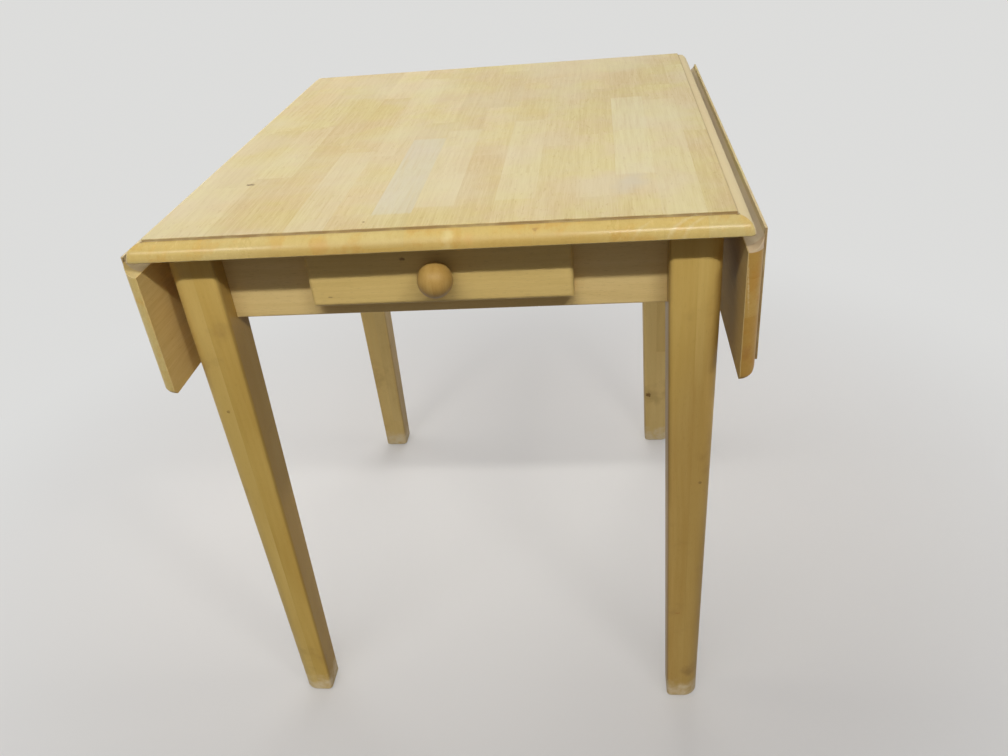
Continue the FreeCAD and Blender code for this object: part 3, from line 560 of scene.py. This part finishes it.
def wornFoot(tree, wood):  # ragged mask of the rubbed foot
    ragged = noiseAt(tree, wood["place"], legWear["footScale"], legWear["footDetail"])
    uneven = scaled(tree, ragged, legWear["footUneven"], -legWear["footUneven"] / 2)
    height = calc(tree, "ADD", wood["axes"]["Z"], uneven)
    foot = ease(tree, height, legWear["footFrom"], legWear["footRise"], 1.0, 0.0)
    patchy = noiseAt(tree, wood["place"], legWear["chafeScale"], legWear["chafeDetail"])
    return times(tree, foot, scaled(tree, patchy, legWear["chafeGain"], legWear["chafeOffset"], clamp=True))


def shadedInnerSides(tree, wood):  # painted shade: the inner sides of the legs made darker
    normal = tree.nodes.new("ShaderNodeSeparateXYZ")
    tree.links.new(tree.nodes.new("ShaderNodeNewGeometry").outputs["Normal"], normal.inputs[0])
    outward = times(tree, calc(tree, "SIGN", wood["axes"]["X"]), normal.outputs["X"])
    return ease(tree, outward, legWear["innerFull"], legWear["innerNone"], legWear["innerShadeShare"], 0.0)


def legFinish(name, look, lowShade):
    finish, tree, shader = startFinish(name)
    wood = woodBody(tree, look)
    axes = wood["axes"]
    foot = wornFoot(tree, wood)
    scuffShare = times(tree, patchesAt(tree, wood["place"], legScuffs), legWear["scuffShare"])
    colour = mixTones(tree, scuffShare, wood["colour"], legWear["scuffTone"])
    # painted shade: darker towards the floor, slanted across the right front leg
    acrossLeg = minus(tree, axes["X"], legWear["slantFrom"])
    height = scaled(tree, acrossLeg, -lowShade["slant"], axes["Z"])
    low = ease(tree, height, legWear["lowTo"], legWear["lowFrom"], lowShade["share"], 0.0)
    colour = mixTones(tree, low, colour, lowShade["tone"], "MULTIPLY")
    # painted shade on the legs' inner sides
    colour = mixTones(tree, shadedInnerSides(tree, wood), colour, legWear["innerShadeTone"], "MULTIPLY")
    colour = mixTones(tree, times(tree, foot, legWear["footShare"]), colour, legWear["footTone"])
    wood["colour"] = addMarks(tree, axes, colour, legMarks)
    wood["roughExtra"] = times(tree, foot, legWear["footRough"])
    closeWood(tree, shader, wood, look)
    return finish


dress(["leg_front_left"], legFinish("left front leg", legWood, legLowShade["leg_front_left"]))
dress(["leg_front_right"], legFinish("right front leg", dict(legWood, seed=8.0), legLowShade["leg_front_right"]))
dress(["leg_rear_left", "leg_rear_right"], legFinish("paler rear leg", rearLegWood, legLowShade["leg_rear"]))


# rails, drawer front and knob

railWood = dict(
    plainWood, seed=12.0, broadFine=30.0, broadLong=3.0, bandPitch=420.0, bandContrast=0.09,
    streakContrast=0.28, tones=((0.62, 0.452, 0.175), (0.73, 0.552, 0.235), (0.79, 0.616, 0.287)))
sideRailWood = dict(railWood, grain="Y", seed=14.0)
drawerWood = dict(
    plainWood, seed=17.0, bandPitch=900.0, bandSway=30.0, bandContrast=0.07, streakContrast=0.32,
    tones=((0.58, 0.417, 0.133), (0.695, 0.516, 0.19), (0.765, 0.59, 0.24)), wornTone=(0.70, 0.58, 0.32),
    edgeRadius=0.002)
drawerMarks = [
    {"axes": "XZ", "centre": (-0.036, 0.706), "half": (0.004, 0.0028), "tone": (0.20, 0.11, 0.04),
     "share": 0.7},
    {"axes": "XZ", "centre": (-0.122, 0.664), "half": (0.0035, 0.0012), "tone": (0.30, 0.18, 0.07),
     "share": 0.6},
]
knobWood = dict(
    plainWood, grain="Z", across="X", seed=21.0, broadFine=90.0, broadLong=40.0, bandPitch=700.0,
    bandSway=9.0, tones=((0.375, 0.212, 0.053), (0.45, 0.285, 0.078), (0.52, 0.35, 0.112)),
    poreTone=(0.25, 0.12, 0.03), wornTone=(0.62, 0.45, 0.2), edgeWear=0.0,
    roughSwing=0.1, specular=0.22)


def plainFinish(name, look, marks=()):
    finish, tree, shader = startFinish(name)
    wood = woodBody(tree, look)
    wood["colour"] = addMarks(tree, wood["axes"], wood["colour"], marks)
    closeWood(tree, shader, wood, look)
    return finish


dress(["front_rail", "rear_rail"], plainFinish("lacquered rail", railWood))
dress(["left_rail", "right_rail"], plainFinish("lacquered side rail", sideRailWood))
dress(["drawer_front"], plainFinish("drawer front", drawerWood, drawerMarks))
dress(["drawer_knob"], plainFinish("turned knob", knobWood))
print("frame and drawer front finished")


# bare planed wood inside, each piece with its grain along its longest side

innerWood = dict(
    plainWood, seed=25.0, tones=((0.52, 0.40, 0.21), (0.60, 0.47, 0.26), (0.66, 0.54, 0.32)),
    wornTone=(0.68, 0.57, 0.36), rough=0.62, reliefStrength=0.5)
plyWood = dict(
    innerWood, across="Y", seed=31.0, broadFine=14.0, broadLong=2.0, bandPitch=150.0, bandSway=26.0,
    bandContrast=0.3, tones=((0.54, 0.42, 0.25), (0.62, 0.50, 0.31), (0.69, 0.57, 0.37)))
innerNames = [row["node"] for row in frame["record"]["subparts"] if row["material_slot"] == "inner_wood"]


def longestAxis(name):
    low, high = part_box(name)
    size = high - low
    return "XYZ"[max(range(3), key=lambda index: size[index])]


for axis in "XYZ":
    axisWood = dict(innerWood, grain=axis, across="Z" if axis != "Z" else "Y")
    finish = plainFinish("bare wood along " + axis, axisWood)
    dress([name for name in innerNames if longestAxis(name) == axis], finish)
dress(["drawer_bottom"], plainFinish("thin plywood", plyWood))


# plated steel, brushed and a little cloudy

hingeSteel = {"tones": ((0.42, 0.33, 0.17), (0.62, 0.52, 0.31)), "rough": 0.34, "roughSwing": 0.22,
              "brushScale": 2520.0, "cloudScale": 147.0}
boltSteel = {"tones": ((0.40, 0.40, 0.38), (0.62, 0.62, 0.60)), "rough": 0.36, "roughSwing": 0.24,
             "brushScale": 1800.0, "cloudScale": 105.0}
plating = {
    "brushStretch": 0.08, "brushDetail": 2.0, "brushShare": 0.4, "cloudDetail": 4.0, "cloudRough": 0.6,
    "cloudShare": 0.6, "toneLow": 0.35, "toneHigh": 0.62, "edgeRadius": 0.0004, "edgeShare": 0.4,
    "edgeTone": (0.75, 0.73, 0.68), "reliefStrength": 0.2, "reliefDepth": 0.0001,
}


def steelFinish(name, look):
    finish, tree, shader = startFinish(name)
    axes, place = placeAxes(tree)
    vector = pack(tree, axes["X"], times(tree, axes["Y"], plating["brushStretch"]), axes["Z"])
    brushed = noiseAt(tree, vector, look["brushScale"], plating["brushDetail"])
    cloudy = noiseAt(tree, place, look["cloudScale"], plating["cloudDetail"], plating["cloudRough"])
    blend = scaled(tree, brushed, plating["brushShare"], times(tree, cloudy, plating["cloudShare"]))
    tone = ease(tree, blend, plating["toneLow"], plating["toneHigh"])
    normal, edges = softEdges(tree, plating["edgeRadius"])
    colour = mixTones(tree, tone, look["tones"][0], look["tones"][1])
    colour = mixTones(tree, times(tree, edges, plating["edgeShare"]), colour, plating["edgeTone"])
    tree.links.new(colour, shader.inputs["Base Color"])
    shader.inputs["Metallic"].default_value = 1.0
    dull = scaled(tree, minus(tree, cloudy, 0.5), look["roughSwing"], look["rough"])
    tree.links.new(dull, shader.inputs["Roughness"])
    addRelief(tree, shader, brushed, normal, plating["reliefStrength"], plating["reliefDepth"])
    return finish


steels = {"hinge_steel": steelFinish("brass-plated hinge", hingeSteel),
          "fastener_steel": steelFinish("zinc-plated fastener", boltSteel)}
for row in frame["record"]["subparts"]:
    if row["material_slot"] in steels:
        dress([row["node"]], steels[row["material_slot"]])
print("inner pieces and metal finished")


# floor, light and camera

stageLook = {
    "floorSize": 60.0, "floorSeen": (0.86, 0.86, 0.85), "floorBounce": (0.36, 0.335, 0.325),
    "floorRough": 0.8, "floorSpecular": 0.1,
    "plainFrom": 0.45, "plainTo": 1.35, "plainLeast": 0.30, "plainTone": (0.72, 0.72, 0.71),
    "sky": (1.0, 0.90, 0.89), "skyLevel": 0.222, "skySeen": (0.72, 0.72, 0.71),
}
lampLook = {  # place, aim, width and height in metres, watts, colour, beam in degrees
    "frontStrip": {"place": (-0.10, -1.26, 1.775), "aim": (-0.10, -0.05, 0.75), "size": (2.16, 0.05),
                   "watts": 5.1, "colour": (1.0, 0.975, 0.93), "beam": 76.0},
    "rearOverhead": {"place": (-0.30, 0.90, 1.50), "aim": (0.05, 0.28, 0.75), "size": (2.0, 0.6),
                     "watts": 9.3, "colour": (1.0, 0.99, 0.97), "beam": 180.0, "matte": True},
    "rightSpot": {"place": (0.95, -1.26, 1.775), "aim": (-0.33, -0.15, 0.60), "size": (0.2, 0.05),
                  "watts": 0.70, "colour": (1.0, 0.975, 0.93), "beam": 60.0},
    "leftSpot": {"place": (-0.80, -1.26, 1.775), "aim": (-0.20, -0.36, 0.74), "size": (0.62, 0.05),
                 "watts": 0.07, "colour": (1.0, 0.975, 0.93), "beam": 40.0},
    "lowFront": {"place": (0.0, -2.0, 0.15), "aim": (0.0, 0.0, 0.04), "size": (0.06, 0.06),
                 "watts": 0.41, "colour": (1.0, 0.985, 0.95), "beam": 40.0, "matte": True},
    "rearFill": {"place": (0.0, 1.9, 0.95), "aim": (0.0, 0.33, 0.50), "size": (1.6, 0.4),
                 "watts": 1.8, "colour": (1.0, 0.985, 0.95), "beam": 60.0, "matte": True},
    "leftFill": {"place": (-1.45, 0.15, 0.95), "aim": (-0.33, 0.15, 0.62), "size": (1.0, 0.06),
                 "watts": 0.68, "colour": (1.0, 0.965, 0.93), "beam": 34.0, "matte": True},
    "rightFill": {"place": (1.45, 0.15, 0.95), "aim": (0.33, 0.15, 0.62), "size": (1.0, 0.06),
                  "watts": 0.56, "colour": (1.0, 0.965, 0.93), "beam": 34.0, "matte": True},
}
cameraLook = {"place": (0.17647, -1.15157, 1.07112), "yaw": -0.1411, "pitch": 0.5579, "roll": -0.1013,
              "focalPixels": 857.0, "imageWidth": 1008, "filmWidth": 36.0, "farClip": 200.0}


def seenRays(tree):  # rays that show the background, straight or mirrored, and never light the table
    rays = tree.nodes.new("ShaderNodeLightPath").outputs
    mirrored = calc(tree, "MAXIMUM", rays["Is Glossy Ray"], rays["Is Transmission Ray"])
    return calc(tree, "MAXIMUM", rays["Is Camera Ray"], mirrored)


def makeFloor():
    half = stageLook["floorSize"] / 2
    corners = [(-half, -half, 0), (half, -half, 0), (half, half, 0), (-half, half, 0)]
    mesh = bpy.data.meshes.new("floor")
    mesh.from_pydata(corners, [], [(0, 1, 2, 3)])
    floor = bpy.data.objects.new("floor", mesh)
    bpy.context.scene.collection.objects.link(floor)
    finish, tree, shader = startFinish("pale floor")
    seen = seenRays(tree)
    colour = mixTones(tree, seen, stageLook["floorBounce"], stageLook["floorSeen"])
    tree.links.new(colour, shader.inputs["Base Color"])
    shader.inputs["Roughness"].default_value = stageLook["floorRough"]
    shader.inputs["Specular IOR Level"].default_value = stageLook["floorSpecular"]

    # shaded near the table, plain further out
    axes = placeAxes(tree)[0]
    squares = calc(tree, "ADD", calc(tree, "POWER", axes["X"], 2.0), calc(tree, "POWER", axes["Y"], 2.0))
    away = calc(tree, "SQRT", squares)
    plain = ease(tree, away, stageLook["plainFrom"], stageLook["plainTo"], stageLook["plainLeast"], 1.0)
    glow = tree.nodes.new("ShaderNodeEmission")
    glow.inputs["Color"].default_value = tint(stageLook["plainTone"])
    blend = tree.nodes.new("ShaderNodeMixShader")
    feed(tree, blend.inputs[0], times(tree, plain, seen))
    tree.links.new(shader.outputs[0], blend.inputs[1])
    tree.links.new(glow.outputs[0], blend.inputs[2])
    tree.links.new(blend.outputs[0], tree.nodes["Material Output"].inputs["Surface"])
    mesh.materials.append(finish)


def makeSky():
    world = bpy.data.worlds.new("studio")
    world.use_nodes = True
    tree = world.node_tree
    background = tree.nodes["Background"]
    background.inputs["Color"].default_value = tint(stageLook["sky"])
    background.inputs["Strength"].default_value = stageLook["skyLevel"]
    seenSky = tree.nodes.new("ShaderNodeBackground")
    seenSky.inputs["Color"].default_value = tint(stageLook["skySeen"])
    choose = tree.nodes.new("ShaderNodeMixShader")
    tree.links.new(seenRays(tree), choose.inputs[0])
    tree.links.new(background.outputs[0], choose.inputs[1])
    tree.links.new(seenSky.outputs[0], choose.inputs[2])
    tree.links.new(choose.outputs[0], tree.nodes["World Output"].inputs["Surface"])
    bpy.context.scene.world = world


def makeLamp(name, look):
    lamp = bpy.data.lights.new(name, "AREA")
    lamp.shape = "RECTANGLE"
    lamp.size, lamp.size_y = look["size"]
    lamp.energy = look["watts"]
    lamp.color = look["colour"]
    lamp.spread = math.radians(look["beam"])
    holder = bpy.data.objects.new(name, lamp)
    holder.visible_camera = False
    holder.visible_glossy = not look.get("matte", False)  # a matte fill leaves no glint
    holder.location = look["place"]
    sight = Vector(look["aim"]) - Vector(look["place"])
    holder.rotation_euler = sight.to_track_quat("-Z", "Y").to_euler()
    bpy.context.scene.collection.objects.link(holder)


def makeCamera(look):
    sinYaw, cosYaw = math.sin(look["yaw"]), math.cos(look["yaw"])
    sinPitch, cosPitch = math.sin(look["pitch"]), math.cos(look["pitch"])
    sinRoll, cosRoll = math.sin(look["roll"]), math.cos(look["roll"])
    forward = Vector((sinYaw * cosPitch, cosYaw * cosPitch, -sinPitch))
    level = Vector((cosYaw, -sinYaw, 0.0))
    upright = level.cross(forward)
    right = level * cosRoll + upright * sinRoll
    up = upright * cosRoll - level * sinRoll
    camera = bpy.data.cameras.new("photo view")
    camera.sensor_fit = "HORIZONTAL"
    camera.sensor_width = look["filmWidth"]
    camera.lens = look["focalPixels"] * look["filmWidth"] / look["imageWidth"]
    camera.clip_end = look["farClip"]
    holder = bpy.data.objects.new("photo view", camera)
    turn = Matrix((right, up, -forward)).transposed().to_4x4()
    holder.matrix_world = Matrix.Translation(look["place"]) @ turn
    bpy.context.scene.collection.objects.link(holder)
    bpy.context.scene.camera = holder


makeFloor()
makeSky()
for name, look in lampLook.items():
    makeLamp(name, look)
makeCamera(cameraLook)
bpy.context.scene.view_settings.view_transform = "Standard"
print("stage, lights and camera set")
